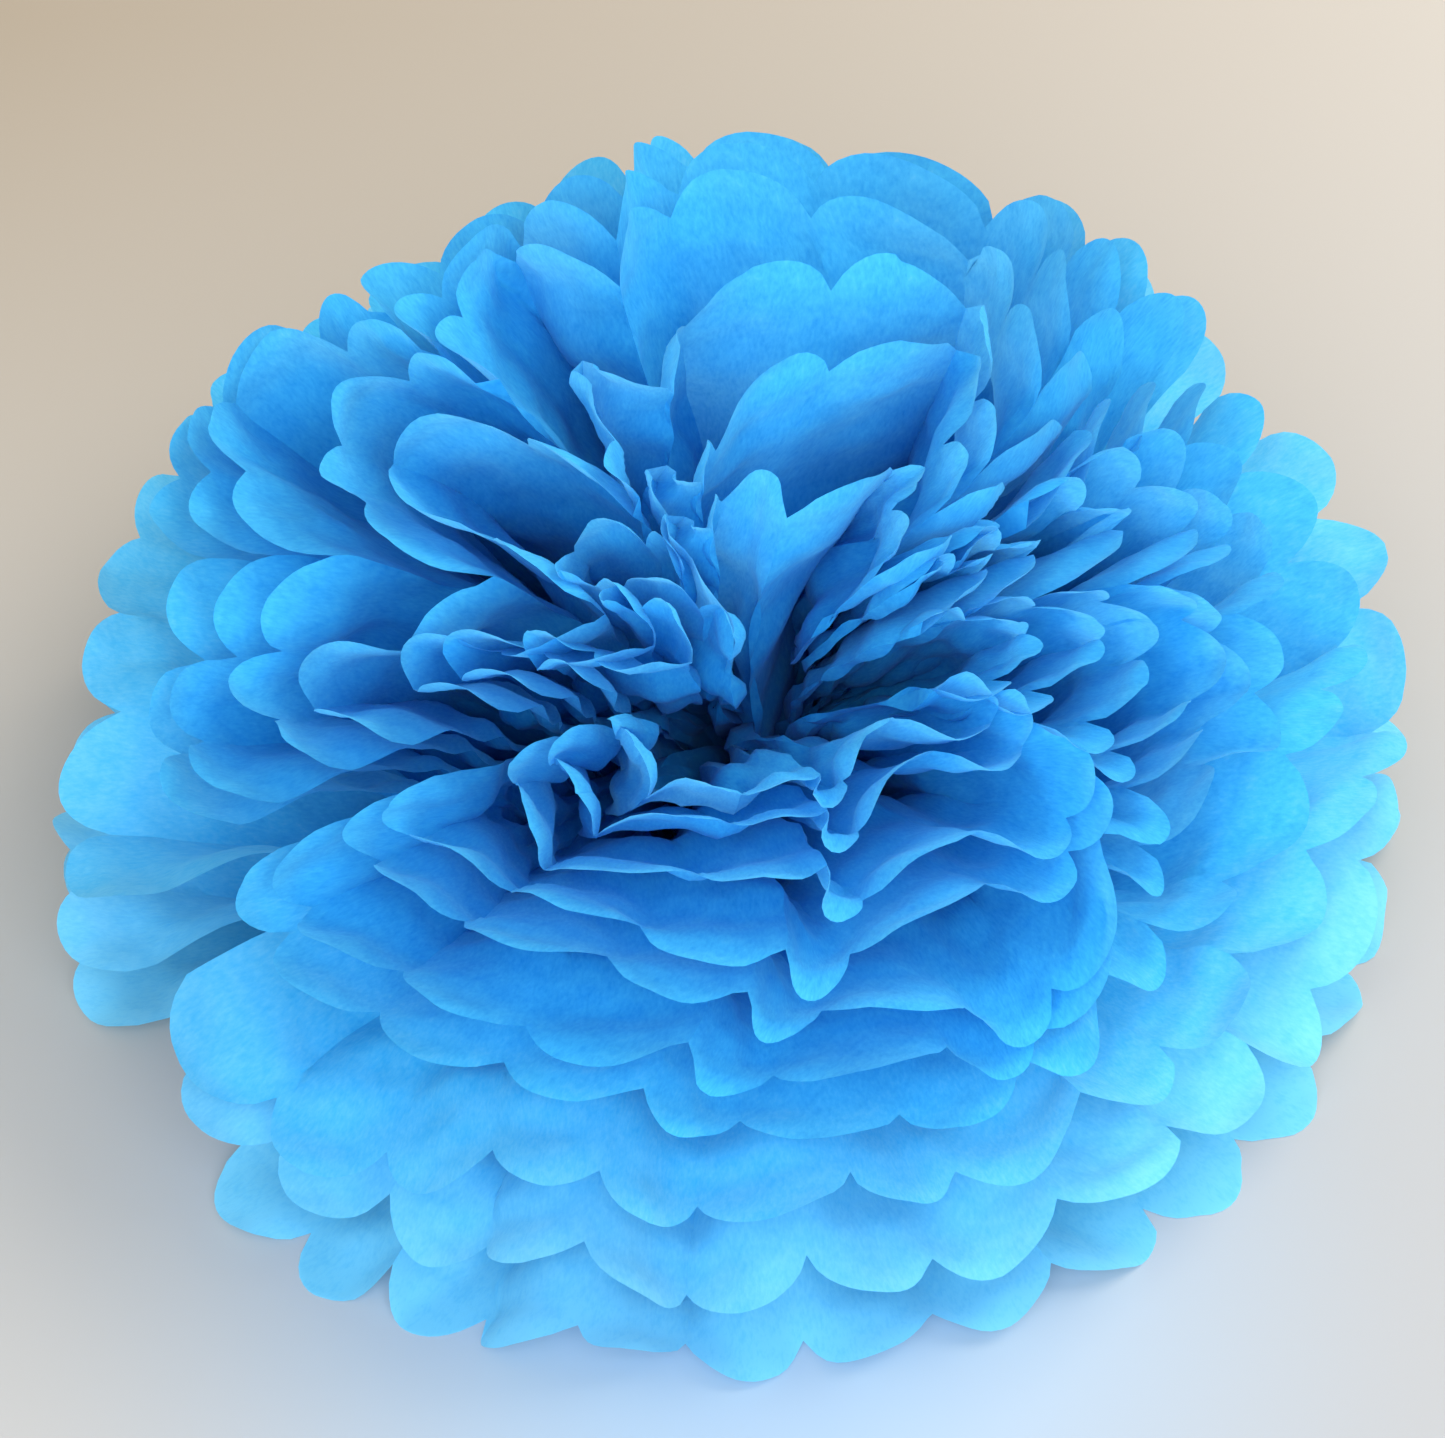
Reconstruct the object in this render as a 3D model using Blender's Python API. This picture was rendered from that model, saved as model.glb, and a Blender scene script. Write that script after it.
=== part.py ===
"""Tissue paper pom pom: ten pleated tissue sheets, fanned out about the wire that ties them.

Metres, +Z up. The pom pom lies on the plane z = 0, as a fluffed flower on a table, with the
origin under the middle of its bounding box. Each sheet is one strip of paper: it was folded
into pleats across its width, had the pleat ends cut round, was tied round its middle with the
others and was then fanned out into two half cups, one on each side of the tie. Sheet 01 is the
outermost and lies on the table. Sheet 10 is the innermost and stands around the hollow.
"""

import math

import bpy
import numpy as np

# Paper: the sheet before it is folded, and the cut ends of its pleats
SHEET_WIDTH = 0.508
SHEET_LENGTH = 0.305
PAPER_THICKNESS = 0.00035
PLEAT_COUNT = 16
SCALLOP_DEPTH = 0.0095
SHEET_CLEARANCE = 0.0008

# Tie: the bundle's width at the wire, how much narrower each sheet is pinched than the one
# under it, and the room between the lowest sheet's neck and the table
NECK_WIDTH = 0.018
NECK_TAPER = 0.0012
TIE_CLEARANCE = 0.0085
WIRE_DIAMETER = 0.0009
WIRE_CLEARANCE = 0.0005
TWIST_LENGTH = 0.012
TWIST_GAP = 0.0002
TWIST_TURNS = 3
TWIST_STEPS = 6
CORNER_STEPS = 3

# Fans: directions round the vertical in degrees
FAN_AZIMUTH = 298.0
FRONT_AZIMUTH = 270.0
FAN_SPAN = 174.0

# Distances from the tie at which a sheet stops lying flat beside the wire (each sheet nearer
# than the one under it) and over which it bends up and spreads
NECK_LENGTH = 0.008
NECK_STEP = 0.0006
FLARE_LENGTH = 0.026

# Steepest slope of a pleat against the cup by the tie, farther out, and farther out in the
# innermost sheets. Then the share of the pleat's width that its small wrinkles leave.
FOLD_STEEPNESS_AT_TIE = 1.0
FOLD_STEEPNESS = 5.0
INNER_STEEPNESS = 3.4
INNER_SHEETS_FROM = 7
STEEP_FROM = 0.5
PAPER_SLACK = 0.985

# How far each sheet's cup opens from the flower's middle line, in degrees, outermost first,
# and how far that line leans toward the front, and is turned from it, for the innermost sheets
OPENINGS = (95.0, 81.0, 69.0, 54.0, 46.0, 38.5, 31.0, 24.0, 18.0, 12.0)
SHEET_COUNT = len(OPENINGS)
LEAN = 34.0
LEAN_POWER = 1.5
LEAN_TURN = 10.0

# How the folds are turned round the middle line toward the rim, in degrees: all one way, and
# apart at the front. Both grow from this share of the reach and with the closeness of a cup.
SWIRL = 8.0
FRONT_STRETCH = 6.0
TURN_FROM = 0.25

# Slow rise and fall of a cup's rim: degrees at most, and its share of the cup's opening
CUP_WAVE = 3.0
CUP_WAVE_SHARE = 0.08
CUP_WAVE_LOBES = (2, 3, 5)

# Where the inner sheets are parted from the outer ones, and how far each cup moves there, in
# degrees: the inner cups close and the outer ones open
PARTING_AZIMUTH = 140.0
PARTING_BREADTH = 1.5
PARTING = (0.0, 0.0, 1.0, 2.5, 4.5, 6.5, 8.0, -3.0, -3.0, -3.5)

# How wide each pleat lies open in the inner sheets, against its neighbours. The outer sheets
# are spread evenly, and no pleat is opened wider than its paper. Fold 0 of both fans is on
# the left.
UNEVENNESS = 1.3
UNEVEN_POWER = 2.0
EVENING_SWEEPS = 4
FRONT_SHARES = (0.6, 2.2, 1.9, 2.4, 0.5, 2.6, 1.6, 0.5, 0.5, 1.6, 0.5, 0.5, 1.6, 0.5, 0.6, 0.6)
BACK_SHARES = (0.9, 0.5, 1.9, 0.5, 0.6, 2.4, 0.5, 0.6, 0.6, 1.8, 0.5, 3.8, 3.8, 0.8, 1.4, 0.6)

# Whether each pleat runs out (1) or in (-1). By the tie they take turns. Toward the rim of the
# inner sheets two that run the same way open into one broad petal. The folds' mean over this
# many folds, weighted, stays on the cup.
FRONT_RUNS = (1, 1, -1, -1, 1, -1, 1, -1, 1, 1, -1, -1, 1, -1, -1, 1)
BACK_RUNS = (1, -1, -1, 1, 1, -1, -1, 1, 1, -1, 1, -1, 1, -1, -1, 1)
RUNS_FROM = 0.25
RUNS_OVER = 0.45
RUNS_CLOSENESS = 0.4
RUNS_DEPTH = 0.85
MEAN_WEIGHTS = (1, 2, 2, 2, 2, 2, 1)

# Rim: the share of a fold's depth that is left where the creases are pulled open, how much
# of it is the same in all sheets, and how far fold ends curl in or out against the reach
KEPT_DEPTH = (0.25, 1.2)
KEPT_ALIKE = 0.55
FRONT_OPENED = 0.2
OPENED_FROM = 0.45
OUTER_SHEETS = 3
OUTER_CURL = 0.05
INNER_CURL = 0.06
CURL_FROM = 0.56
CURL_LIMIT = 1.6
INNER_LIFT = 0.3

# Droop of the rims of the middle sheets at the front, against the reach
DROOP = 0.11
DROOP_SHEETS = (1.5, 7.5)

# Sheets are pressed apart until they clear each other, up to this angle in degrees
PRESS_CLEARANCE = 0.0016
PRESS_FACTOR = 1.2
PRESS_LIMIT = 5.5
PRESS_SWEEPS = 30

# Drift of the whole flower's paper, against the reach: its size, its wave lengths, and the
# distance and height over which it fades in from the tie and from the table
DRIFT_SEED = 21
DRIFT_WAVES = 7
DRIFT_SIZE = 0.016
DRIFT_LENGTHS = (0.46, 0.85)
DRIFT_FROM = 0.13
DRIFT_OVER = 0.53
DRIFT_HEIGHT = 0.4

# Where the folds have their corners, from the tie to the rim, and the points of a scallop
ROW_SHARES = (0.50, 0.80)
SCALLOP_POINTS = 4

PLEAT_WIDTH = SHEET_WIDTH / PLEAT_COUNT
REACH = SHEET_LENGTH / 2
SHEET_PITCH = PAPER_THICKNESS + SHEET_CLEARANCE
NECK_HEIGHT = SHEET_PITCH * (SHEET_COUNT - 1)
TIE_HEIGHT = NECK_HEIGHT / 2 + TIE_CLEARANCE


def smooth_step(x):
    """Rise from 0 at 0 to 1 at 1 with level ends."""
    x = np.clip(x, 0.0, 1.0)
    return x * x * (3.0 - 2.0 * x)


def row_distances(index):
    """Distances of a sheet's fold corners from the tie. Inner sheets bend up closer to it."""
    notch = scallop_reach(1.0)
    rows = [share * REACH for share in ROW_SHARES]
    near = [0.0, NECK_LENGTH - index * NECK_STEP, NECK_LENGTH + FLARE_LENGTH]
    return np.array(near + rows + [notch - SCALLOP_DEPTH, notch])


def flare(distance):
    """From 0 in the flat neck to 1 where the sheets have bent up and spread."""
    return smooth_step((distance - NECK_LENGTH) / FLARE_LENGTH)


def closeness(opening):
    """From 0 for a sheet that lies flat to 1 for one that stands on the middle line."""
    return np.clip(1.0 - opening / (math.pi / 2), 0.0, 1.0)


def pleat_steps(fan, opening):
    """How much of the fan each pleat spans at an opening: 1 on average, never over its width."""
    shares = np.array((FRONT_SHARES, BACK_SHARES)[fan])
    shares = np.interp(np.linspace(0, 1, PLEAT_COUNT), np.linspace(0, 1, len(shares)), shares)
    uneven = np.minimum(1.0, UNEVENNESS * closeness(opening) ** UNEVEN_POWER)[..., None]
    step = 1.0 + (shares / shares.mean() - 1.0) * uneven
    widest = PAPER_SLACK * PLEAT_WIDTH * PLEAT_COUNT / (REACH * math.radians(FAN_SPAN))
    widest = (widest / np.sin(opening))[..., None]
    for _ in range(EVENING_SWEEPS):
        step = np.minimum(step, widest)
        step = step / step.mean(axis=-1, keepdims=True)
    return step


def fold_azimuth(fan, opening, distance):
    """Azimuth of fold 0 to the last, where the fold meets a given opening and distance.

    The same rule holds for every sheet, so a fold's line is shared by the whole stack and
    the sheets stay nested along it.
    """
    before = np.tri(PLEAT_COUNT + 1, PLEAT_COUNT, -1)[:, None, :]
    place = (pleat_steps(fan, opening) * before).sum(axis=-1) / PLEAT_COUNT - 0.5
    turn = math.radians(FAN_SPAN) * place * (1.0 if fan == 0 else -1.0)
    middle = math.radians(FAN_AZIMUTH + 180.0 * fan)
    from_front = middle + turn - math.radians(FRONT_AZIMUTH)
    stretch = math.radians(FRONT_STRETCH) * np.sin(2.0 * from_front)
    drawn = smooth_step((distance / REACH - TURN_FROM) / (1.0 - TURN_FROM))
    turn = turn + closeness(opening) * (stretch + math.radians(SWIRL)) * drawn
    return middle + turn * flare(distance)


def direction(azimuth, opening, lean):
    """Unit vector at an angle of opening from a middle line that leans toward the front."""
    side = math.radians(LEAN_TURN)
    x = np.sin(opening) * np.cos(azimuth - side)
    y = np.sin(opening) * np.sin(azimuth - side)
    z = np.cos(opening)
    y, z = y * np.cos(lean) - z * np.sin(lean), y * np.sin(lean) + z * np.cos(lean)
    x, y = x * math.cos(side) - y * math.sin(side), x * math.sin(side) + y * math.cos(side)
    return np.stack((x, y, z), -1)


def place_folds(index, fan, opening, distance):
    """Points of every fold of one fan, from its opening at each distance from the tie."""
    bend = flare(distance)
    bent = math.pi / 2 + (opening - math.pi / 2) * bend
    lean = math.radians(LEAN) * closeness(opening) ** LEAN_POWER * bend
    along = direction(fold_azimuth(fan, opening, distance), bent, lean)
    width = NECK_WIDTH - index * NECK_TAPER
    across = np.linspace(-width / 2, width / 2, PLEAT_COUNT + 1)[:, None]
    neck_turn = math.radians(FAN_AZIMUTH + 90.0)
    level = (index - (SHEET_COUNT - 1) / 2) * SHEET_PITCH
    neck = np.stack((math.cos(neck_turn) * across, math.sin(neck_turn) * across,
                     np.full_like(across, level)), -1)
    return neck + distance[None, :, None] * along


def cup_opening(index, fan):
    """Opening of one sheet at every fold: its own, with a slow rise and fall around the cup."""
    opening = np.radians(np.full((PLEAT_COUNT + 1, 1), OPENINGS[index]))
    azimuth = fold_azimuth(fan, opening, np.array([REACH]))
    draw = np.random.default_rng(100 + index)
    size = math.radians(min(CUP_WAVE, OPENINGS[index] * CUP_WAVE_SHARE)) if index else 0.0
    for lobes in CUP_WAVE_LOBES:
        height = size * draw.normal(0, 0.5)
        opening = opening + height * np.cos(lobes * azimuth + draw.uniform(0, 2 * math.pi))
    return opening + math.radians(PARTING[index]) * parting(azimuth)


def parting(azimuth):
    """From 0 at the front right to 1 at the back left, where the inner sheets stand apart."""
    return np.clip(np.cos((azimuth - math.radians(PARTING_AZIMUTH)) / PARTING_BREADTH), 0.0, 1.0) ** 2


def steepness(top, distance):
    """Steepest slope of a pleat against the cup, up to the top: gentle by the tie."""
    start = (NECK_LENGTH + FLARE_LENGTH) / REACH
    rise = smooth_step((distance / REACH - start) / (STEEP_FROM - start))
    slope = FOLD_STEEPNESS_AT_TIE + (top - FOLD_STEEPNESS_AT_TIE) * rise
    return slope * flare(distance)


def fold_depths(index, fan, distance):
    """Zigzag of the folds, in metres from the cup: as deep as the pleats' width needs."""
    opening = cup_opening(index, fan) * np.ones_like(distance)
    cup = place_folds(index, fan, opening, distance)
    outward = place_folds(index, fan, opening + 0.01, distance) - cup
    outward /= np.maximum(np.linalg.norm(outward, axis=-1, keepdims=True), 1e-12)
    outward = 0.5 * (outward[1:] + outward[:-1])
    chord = np.diff(cup, axis=0)
    climb = np.abs((chord * outward).sum(axis=-1))
    width = np.sqrt(np.clip((chord ** 2).sum(axis=-1) - climb ** 2, 0.0, None))
    depth = np.sqrt(np.clip((PAPER_SLACK * PLEAT_WIDTH) ** 2 - width ** 2, 0.0, None))
    top = FOLD_STEEPNESS if index < INNER_SHEETS_FROM else INNER_STEEPNESS
    depth = np.clip(np.minimum(depth, steepness(top, distance) * width) - climb, 0.0, None)
    turns = (-1.0) ** np.arange(PLEAT_COUNT)[:, None]
    runs = np.resize((FRONT_RUNS, BACK_RUNS)[fan], PLEAT_COUNT)[:, None] * RUNS_DEPTH
    paired = smooth_step((distance / REACH - RUNS_FROM) / RUNS_OVER)
    paired = paired * smooth_step(closeness(math.radians(OPENINGS[index])) / RUNS_CLOSENESS)
    climbs = (turns + (runs - turns) * paired) * depth
    offset = np.concatenate((np.zeros((1, len(distance))), np.cumsum(climbs, axis=0)))
    side = len(MEAN_WEIGHTS) // 2
    padded = np.pad(offset, ((side, side), (0, 0)), mode="edge")
    slow = sum(weight * padded[i:i + PLEAT_COUNT + 1] for i, weight in enumerate(MEAN_WEIGHTS))
    offset = offset - slow / sum(MEAN_WEIGHTS)
    mean_depth = np.pad(0.5 * (depth[1:] + depth[:-1]), ((1, 1), (0, 0)), mode="edge")
    offset = offset + INNER_LIFT * closeness(opening) ** 2 * mean_depth
    azimuth = fold_azimuth(fan, opening, np.array([REACH]))
    pulled = smooth_step((distance / REACH - OPENED_FROM) / (1.0 - OPENED_FROM))
    offset = offset * (1.0 - pulled * (1.0 - kept_depth(index, fan, azimuth)))
    curled = np.clip((distance / REACH - CURL_FROM) / (1.0 - CURL_FROM), 0.0, 1.0) ** 2
    return offset + (rim_curl(index, fan) + rim_droop(index, azimuth)) * curled


def kept_depth(index, fan, azimuth):
    """Share of a fold's depth that is left at the rim, where creases are pulled open."""
    shape = (PLEAT_COUNT + 1, 1)
    alike = np.random.default_rng(7 + fan).uniform(*KEPT_DEPTH, shape)
    own = np.random.default_rng(50 + 10 * index + fan).uniform(*KEPT_DEPTH, shape)
    front = np.clip(np.cos(azimuth - math.radians(FRONT_AZIMUTH)), 0.0, 1.0) ** 2
    return (KEPT_ALIKE * alike + (1.0 - KEPT_ALIKE) * own) * (1.0 - FRONT_OPENED * front)


def rim_curl(index, fan):
    """How far each fold's end is curled out (+) or in (-)."""
    draw = np.random.default_rng(900 + 10 * index + fan)
    size = OUTER_CURL if index < OUTER_SHEETS else INNER_CURL
    curl = np.clip(draw.normal(0, 1.0, (PLEAT_COUNT + 1, 1)), -CURL_LIMIT, CURL_LIMIT)
    return size * REACH * curl


def rim_droop(index, azimuth):
    """How far the rims of the middle sheets hang out at the front."""
    front = np.clip(np.cos(azimuth - math.radians(FRONT_AZIMUTH)), 0.0, 1.0) ** 2
    first, last = DROOP_SHEETS
    return DROOP * REACH * front * smooth_step(index - first) * smooth_step(last - index)


def stack_openings(fan):
    """Openings of the folds of all sheets, pressed apart where two would meet."""
    openings = []
    for index in range(SHEET_COUNT):
        distance = np.maximum(row_distances(index), 1e-6)
        openings.append(cup_opening(index, fan) + fold_depths(index, fan, distance) / distance)
    gap = (PAPER_THICKNESS + PRESS_CLEARANCE) * PRESS_FACTOR
    least = gap * np.hypot(1.0, steepness(FOLD_STEEPNESS, distance)) / distance
    least = np.minimum(least, math.radians(PRESS_LIMIT))
    for _ in range(PRESS_SWEEPS):
        for index in range(SHEET_COUNT - 1):
            push = np.clip(openings[index + 1] + least - openings[index], 0.0, None) / 2
            openings[index] = openings[index] + push
            openings[index + 1] = openings[index + 1] - push
    return openings


def drift_points(points):
    """A slow drift shared by all sheets, so that none meets its neighbour."""
    draw = np.random.default_rng(DRIFT_SEED)
    wave = draw.normal(0, 1, (DRIFT_WAVES, 3))
    wave /= np.linalg.norm(wave, axis=1, keepdims=True)
    wave *= 2 * math.pi / (REACH * draw.uniform(*DRIFT_LENGTHS, (DRIFT_WAVES, 1)))
    shift = draw.normal(0, 1, (DRIFT_WAVES, 3)) * DRIFT_SIZE * REACH
    phase = draw.uniform(0, 2 * math.pi, DRIFT_WAVES)
    moved = np.sin(points @ wave.T + phase) @ shift
    reach = np.linalg.norm(points, axis=-1) / REACH
    height = points[..., 2] / REACH
    fade = smooth_step((reach - DRIFT_FROM) / DRIFT_OVER)
    fade = fade * smooth_step((height + DRIFT_FROM) / DRIFT_HEIGHT)
    return points + moved * fade[..., None]


def scallop_reach(place):
    """Distance from the tie to the round cut end, for a place of -1 to 1 across its pleat."""
    half = PLEAT_WIDTH / 2
    radius = (half ** 2 + SCALLOP_DEPTH ** 2) / (2 * SCALLOP_DEPTH)
    return REACH - radius + np.sqrt(radius ** 2 - (half * place) ** 2)


def fan_points(index, fan, openings):
    """Fold corners by row, and rim points along the scallops, lifted to the tie's height."""
    folds = drift_points(place_folds(index, fan, openings[index], row_distances(index)))
    rows, ends = folds[:, :-2], folds[:, -2:]
    notch = scallop_reach(1.0)
    rim = [ends[0, 1]]
    for pleat in range(PLEAT_COUNT):
        for point in range(1, SCALLOP_POINTS + 1):
            share = point / SCALLOP_POINTS
            edge = ends[pleat] * (1.0 - share) + ends[pleat + 1] * share
            beyond = (scallop_reach(2.0 * share - 1.0) - notch) / SCALLOP_DEPTH
            rim.append(edge[1] + (edge[1] - edge[0]) * beyond)
    rows, rim = rows + (0, 0, TIE_HEIGHT), np.array(rim) + (0, 0, TIE_HEIGHT)
    floor = PAPER_THICKNESS / 2 + index * SHEET_PITCH
    rows[..., 2] = np.maximum(rows[..., 2], floor)
    rim[..., 2] = np.maximum(rim[..., 2], floor)
    return rows, rim


def fan_faces(row_index, rim_index, flip):
    """Triangles and quads of one fan from its point numbers, facing up."""
    faces = []
    for pleat in range(PLEAT_COUNT):
        for row in range(row_index.shape[1] - 1):
            faces.append((row_index[pleat, row], row_index[pleat, row + 1],
                          row_index[pleat + 1, row + 1], row_index[pleat + 1, row]))
        near, far = row_index[pleat, -1], row_index[pleat + 1, -1]
        edge = rim_index[pleat * SCALLOP_POINTS:(pleat + 1) * SCALLOP_POINTS + 1]
        half = SCALLOP_POINTS // 2
        for point in range(SCALLOP_POINTS):
            faces.append((near if point < half else far, edge[point], edge[point + 1]))
        faces.append((near, edge[half], far))
    return [tuple(reversed(face)) if flip else face for face in faces]


def paper_material():
    """Blue tissue paper: matt, light and a little translucent."""
    material = bpy.data.materials.new("blue_tissue_paper")
    material.use_nodes = True
    shader = material.node_tree.nodes["Principled BSDF"]
    shader.inputs["Base Color"].default_value = (0.045, 0.36, 0.90, 1.0)
    shader.inputs["Roughness"].default_value = 0.75
    shader.inputs["Metallic"].default_value = 0.0
    return material


def wire_material():
    """Thin galvanised steel wire."""
    material = bpy.data.materials.new("steel_wire")
    material.use_nodes = True
    shader = material.node_tree.nodes["Principled BSDF"]
    shader.inputs["Base Color"].default_value = (0.55, 0.56, 0.57, 1.0)
    shader.inputs["Roughness"].default_value = 0.35
    shader.inputs["Metallic"].default_value = 1.0
    return material


def make_sheet(index, fans, material):
    """One tissue sheet: two fans of pleats that share the row of points under the wire."""
    front_rows, front_rim = fan_points(index, 0, fans[0])
    back_rows, back_rim = fan_points(index, 1, fans[1])
    blocks = (front_rows, front_rim, back_rows[:, 1:], back_rim)
    starts = np.cumsum([0] + [block.size // 3 for block in blocks])
    numbers = [start + np.arange(block.size // 3).reshape(block.shape[:-1])
               for start, block in zip(starts, blocks)]
    shared_row = numbers[0][:, :1]
    back_numbers = np.concatenate((shared_row, numbers[2]), axis=1)
    faces = fan_faces(numbers[0], numbers[1], False) + fan_faces(back_numbers, numbers[3], True)
    points = np.concatenate([block.reshape(-1, 3) for block in blocks])
    name = f"tissue_sheet_{index + 1:02d}"
    mesh = bpy.data.meshes.new(name)
    mesh.from_pydata(points.tolist(), [], [tuple(int(i) for i in face) for face in faces])
    mesh.materials.append(material)
    sheet = bpy.data.objects.new(name, mesh)
    bpy.context.collection.objects.link(sheet)
    solid = sheet.modifiers.new("paper", "SOLIDIFY")
    solid.thickness = PAPER_THICKNESS
    solid.offset = 0.0
    solid.use_even_offset = False
    return sheet


def wire_route():
    """Centre line of the wire, across and up: one twisted end, once round, the other end."""
    half_width = NECK_WIDTH / 2 + WIRE_DIAMETER / 2 + WIRE_CLEARANCE
    half_height = NECK_HEIGHT / 2 + PAPER_THICKNESS / 2 + WIRE_DIAMETER / 2 + WIRE_CLEARANCE
    strand = WIRE_DIAMETER / 2 + TWIST_GAP / 2
    steps = TWIST_TURNS * TWIST_STEPS
    start = half_width + WIRE_DIAMETER
    twist = []
    for step in range(steps + 1):
        angle = 2 * math.pi * step / TWIST_STEPS + math.pi / 2
        across = start + TWIST_LENGTH * step / steps
        twist.append((across, strand * math.cos(angle), strand * math.sin(angle)))
    loop = [(half_width, 0.0, strand + WIRE_DIAMETER)]
    for turn, (side, level) in enumerate(((1, 1), (-1, 1), (-1, -1), (1, -1))):
        across = side * (half_width - WIRE_DIAMETER)
        up = level * (half_height - WIRE_DIAMETER)
        for step in range(CORNER_STEPS + 1):
            angle = math.pi / 2 * (turn + step / CORNER_STEPS)
            sideways = across + WIRE_DIAMETER * math.cos(angle)
            loop.append((sideways, 0.0, up + WIRE_DIAMETER * math.sin(angle)))
    loop.append((half_width, 0.0, -strand - WIRE_DIAMETER))
    other = [(across, -depth, -up) for across, depth, up in twist]
    return twist[::-1] + loop + other


def make_wire(material):
    """The tie wire: a loop about the neck of all the sheets, with its ends twisted together."""
    curve = bpy.data.curves.new("tie_wire", "CURVE")
    curve.dimensions = "3D"
    curve.bevel_depth = WIRE_DIAMETER / 2
    curve.bevel_resolution = 1
    curve.use_fill_caps = True
    spline = curve.splines.new("POLY")
    route = wire_route()
    spline.points.add(len(route) - 1)
    turn = math.radians(FAN_AZIMUTH - 90.0)
    for point, (across, depth, up) in zip(spline.points, route):
        x = math.cos(turn) * across - math.sin(turn) * depth
        y = math.sin(turn) * across + math.cos(turn) * depth
        point.co = (x, y, up + TIE_HEIGHT, 1.0)
    wire = bpy.data.objects.new("tie_wire", curve)
    curve.materials.append(material)
    bpy.context.collection.objects.link(wire)
    return wire


def centre_on_origin(objects):
    """Move everything so that the origin is under the middle of the bounding box."""
    bpy.context.view_layer.update()
    depsgraph = bpy.context.evaluated_depsgraph_get()
    corners = []
    for item in objects:
        mesh = item.evaluated_get(depsgraph).to_mesh()
        points = np.empty(len(mesh.vertices) * 3)
        mesh.vertices.foreach_get("co", points)
        corners.append(points.reshape(-1, 3))
    corners = np.concatenate(corners)
    low, high = corners.min(axis=0), corners.max(axis=0)
    holder = bpy.data.objects.new("pom_pom", None)
    bpy.context.collection.objects.link(holder)
    for item in objects:
        item.parent = holder
    holder.location = (-(low[0] + high[0]) / 2, -(low[1] + high[1]) / 2, -low[2])


def main():
    """Clear the scene and build every piece."""
    for item in list(bpy.data.objects):
        bpy.data.objects.remove(item, do_unlink=True)
    paper = paper_material()
    fans = [stack_openings(fan) for fan in (0, 1)]
    pieces = [make_sheet(index, fans, paper) for index in range(SHEET_COUNT)]
    pieces.append(make_wire(wire_material()))
    centre_on_origin(pieces)


main()
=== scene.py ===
"""Looks of the tissue paper pom pom: ten pleated tissue sheets, fanned out about their tie.

Metres, +Z up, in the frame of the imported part. The folds of all sheets follow one rule, as in
the real flower, whose sheets were folded together. Each sheet is a surface worked out in whole
arrays from two parameters: a place across its pleats and a distance from the tie.
"""

import math

import bpy
import numpy as np
from mathutils import Matrix, Vector


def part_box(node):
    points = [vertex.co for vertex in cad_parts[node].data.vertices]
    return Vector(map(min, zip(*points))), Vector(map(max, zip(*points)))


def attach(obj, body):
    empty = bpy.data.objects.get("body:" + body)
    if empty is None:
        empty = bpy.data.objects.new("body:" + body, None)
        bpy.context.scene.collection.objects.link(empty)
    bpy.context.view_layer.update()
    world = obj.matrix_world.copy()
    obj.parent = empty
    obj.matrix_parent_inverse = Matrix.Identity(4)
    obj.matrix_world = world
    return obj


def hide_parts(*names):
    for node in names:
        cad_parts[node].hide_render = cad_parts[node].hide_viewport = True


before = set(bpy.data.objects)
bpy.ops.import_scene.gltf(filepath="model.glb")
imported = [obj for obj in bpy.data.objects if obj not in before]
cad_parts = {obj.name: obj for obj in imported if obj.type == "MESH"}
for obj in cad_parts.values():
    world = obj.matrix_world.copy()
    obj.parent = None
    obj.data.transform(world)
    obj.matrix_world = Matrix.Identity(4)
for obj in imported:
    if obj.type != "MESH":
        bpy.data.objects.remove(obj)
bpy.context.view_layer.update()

# Paper: the sheet before it is folded, and the cut ends of its pleats
SHEET_WIDTH = 0.508
SHEET_LENGTH = 0.305
PLEAT_COUNT = 16
SCALLOP_DEPTH = 0.0095

# Tie: where it is, the bundle's width at the wire, how much narrower each sheet is pinched than
# the one under it, and how high it lies above that one
TIE = np.array((0.0, 0.0, (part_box("tie_wire")[0][2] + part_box("tie_wire")[1][2]) / 2))
NECK_WIDTH = 0.018
NECK_TAPER = 0.0012
SHEET_PITCH = 0.00115

# Fans: directions round the vertical in degrees. Fan 0 is the front one, fan 1 the back one.
FAN_AZIMUTH = 298.0
FRONT_AZIMUTH = 270.0
FAN_SPAN = 174.0

# Distances from the tie at which a sheet stops lying flat beside the wire and over which it
# bends up and spreads
NECK_LENGTH = 0.008
FLARE_LENGTH = 0.026

# Steepest slope of a pleat against the cup by the tie, farther out, and farther out in the
# innermost sheets, from which sheet that holds, and the share of the reach at which the first
# slope has given way to the others. Then the share of a pleat's width that small wrinkles leave.
FOLD_STEEPNESS_AT_TIE = 14.0
FOLD_STEEPNESS = 7.0
INNER_STEEPNESS = 5.5
INNER_SHEETS_FROM = 7
STEEP_FROM = 0.25
PAPER_SLACK = 0.995

# How far each sheet's cup opens from the flower's middle line, in degrees, outermost first.
# For the innermost sheets that line leans toward the front, turned by this much from it. The
# power says how slowly the lean sets in with the closeness of a cup.
OPENINGS = (95.0, 81.0, 69.0, 54.0, 46.0, 38.5, 31.0, 24.0, 18.0, 12.0)
SHEET_COUNT = len(OPENINGS)
LEAN = 34.0
LEAN_POWER = 1.5
LEAN_TURN = 10.0

# How the folds are turned round the middle line toward the rim, in degrees: all one way, and
# apart at the front. Both grow from this share of the reach and with the closeness of a cup.
SWIRL = 8.0
FRONT_STRETCH = 6.0
TURN_FROM = 0.25

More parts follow.
